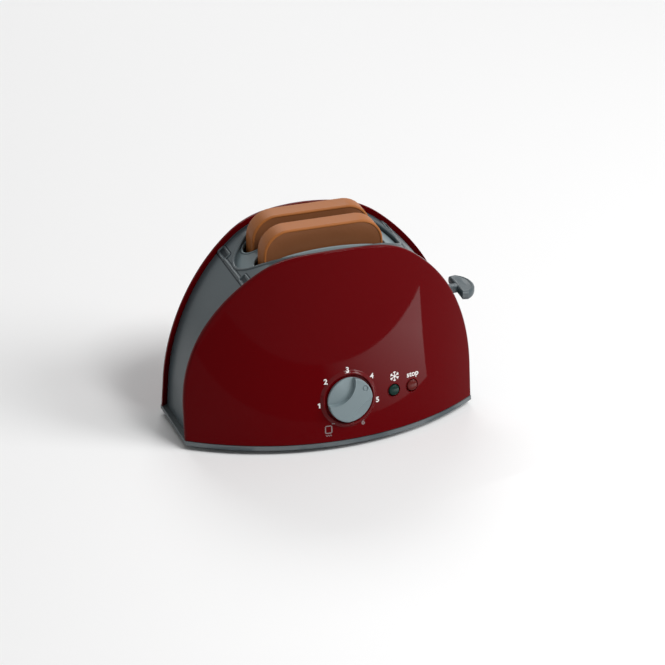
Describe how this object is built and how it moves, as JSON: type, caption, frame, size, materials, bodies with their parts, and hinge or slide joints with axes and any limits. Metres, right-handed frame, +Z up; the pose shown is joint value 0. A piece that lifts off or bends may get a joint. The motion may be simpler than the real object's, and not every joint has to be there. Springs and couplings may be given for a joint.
{
  "type": "toy toaster",
  "caption": "Toy pop-up toaster with curved red shells, grey body and oval deck, two toasts in slots, side lever, timer dial and two buttons.",
  "frame": {"origin": "under the middle of the whole part, on the floor", "axes": "+X towards the lever, +Y away from the dial, +Z up"},
  "size_m": [0.197, 0.1121, 0.1353],
  "materials": {
    "shell_red": "glossy dark red",
    "body_grey": "satin blue-grey",
    "light_grey": "satin lighter blue-grey",
    "button_green": "glossy dark green",
    "button_red": "glossy red",
    "crust": "matte orange tan",
    "crumb": "matte milk-chocolate brown",
    "inner_black": "matte black",
    "mechanism": "natural white gear plastic",
    "steel": "bright drawn wire",
    "brass_plate": "plain"
  },
  "bodies": {
    "housing": {"front_shell": "shell_red", "rear_shell": "shell_red", "housing_band": "body_grey", "slot_deck": "light_grey", "base_plate": "body_grey", "base_screws": "steel", "front_guide": "inner_black", "centre_guide": "inner_black", "rear_guide": "inner_black", "guide_rods": "steel", "rod_bridge": "inner_black", "lift_springs": "steel", "catch_pin": "steel", "timer_front_plate": "brass_plate", "timer_back_plate": "brass_plate", "timer_pillars": "brass_plate", "defrost_spring": "steel", "stop_spring": "steel", "button_bracket": "inner_black"},
    "carriage": {"toast_carriage": "inner_black", "lever_paddle": "body_grey"},
    "front_toast": {"front_toast_crust": "crust", "front_toast_crumb": "crumb"},
    "rear_toast": {"rear_toast_crust": "crust", "rear_toast_crumb": "crumb"},
    "dial": {"timer_knob": "light_grey", "knob_arbor": "steel", "main_wheel": "mechanism", "mainspring": "steel"},
    "escape": {"escape_wheel": "mechanism"},
    "anchor_body": {"anchor": "mechanism"},
    "defrost_body": {"defrost_button": "button_green"},
    "stop_body": {"stop_button": "button_red"},
    "catch_body": {"catch": "mechanism"}
  },
  "joints": [
    {"name": "lever_down", "type": "slide", "parent": "housing", "child": "carriage", "axis": [0, 0, -1], "range_m": [0, 0.038], "stiffness_N_per_m": 80, "springref_m": -0.04, "deforming": ["lift_springs"]},
    {"name": "front_toast_lift", "type": "slide", "parent": "carriage", "child": "front_toast", "axis": [0, 0, 1], "range_m": [0, 0.08]},
    {"name": "rear_toast_lift", "type": "slide", "parent": "carriage", "child": "rear_toast", "axis": [0, 0, 1], "range_m": [0, 0.08]},
    {"name": "dial_turn", "type": "hinge", "parent": "housing", "child": "dial", "pos_m": [-0.002, -0.04973, 0.03264], "axis": [0, -0.989, 0.1478], "range_deg": [-93, 202]},
    {"name": "escape_spin", "type": "hinge", "parent": "housing", "child": "escape", "pos_m": [-0.026, -0.0349, 0.03042], "axis": [0, -0.989, 0.1478], "range_deg": [-606, 279]},
    {"name": "anchor_rock", "type": "hinge", "parent": "housing", "child": "anchor_body", "pos_m": [-0.026, -0.03298, 0.04328], "axis": [0, -0.989, 0.1478], "range_deg": [-4, 4]},
    {"name": "defrost_press", "type": "slide", "parent": "housing", "child": "defrost_body", "axis": [0, 0.989, -0.1478], "range_m": [0, 0.002], "stiffness_N_per_m": 300, "springref_m": -0.002, "deforming": ["defrost_spring"]},
    {"name": "stop_press", "type": "slide", "parent": "housing", "child": "stop_body", "axis": [0, 0.989, -0.1478], "range_m": [0, 0.002], "stiffness_N_per_m": 300, "springref_m": -0.002, "deforming": ["stop_spring"]},
    {"name": "catch_swing", "type": "hinge", "parent": "housing", "child": "catch_body", "pos_m": [0.0525, 0.02289, 0.012], "axis": [1, 0, 0], "range_deg": [0, 10]}
  ],
  "couplings": [
    {"joint": "escape_spin", "follows": "dial_turn", "ratio": -3}
  ]
}
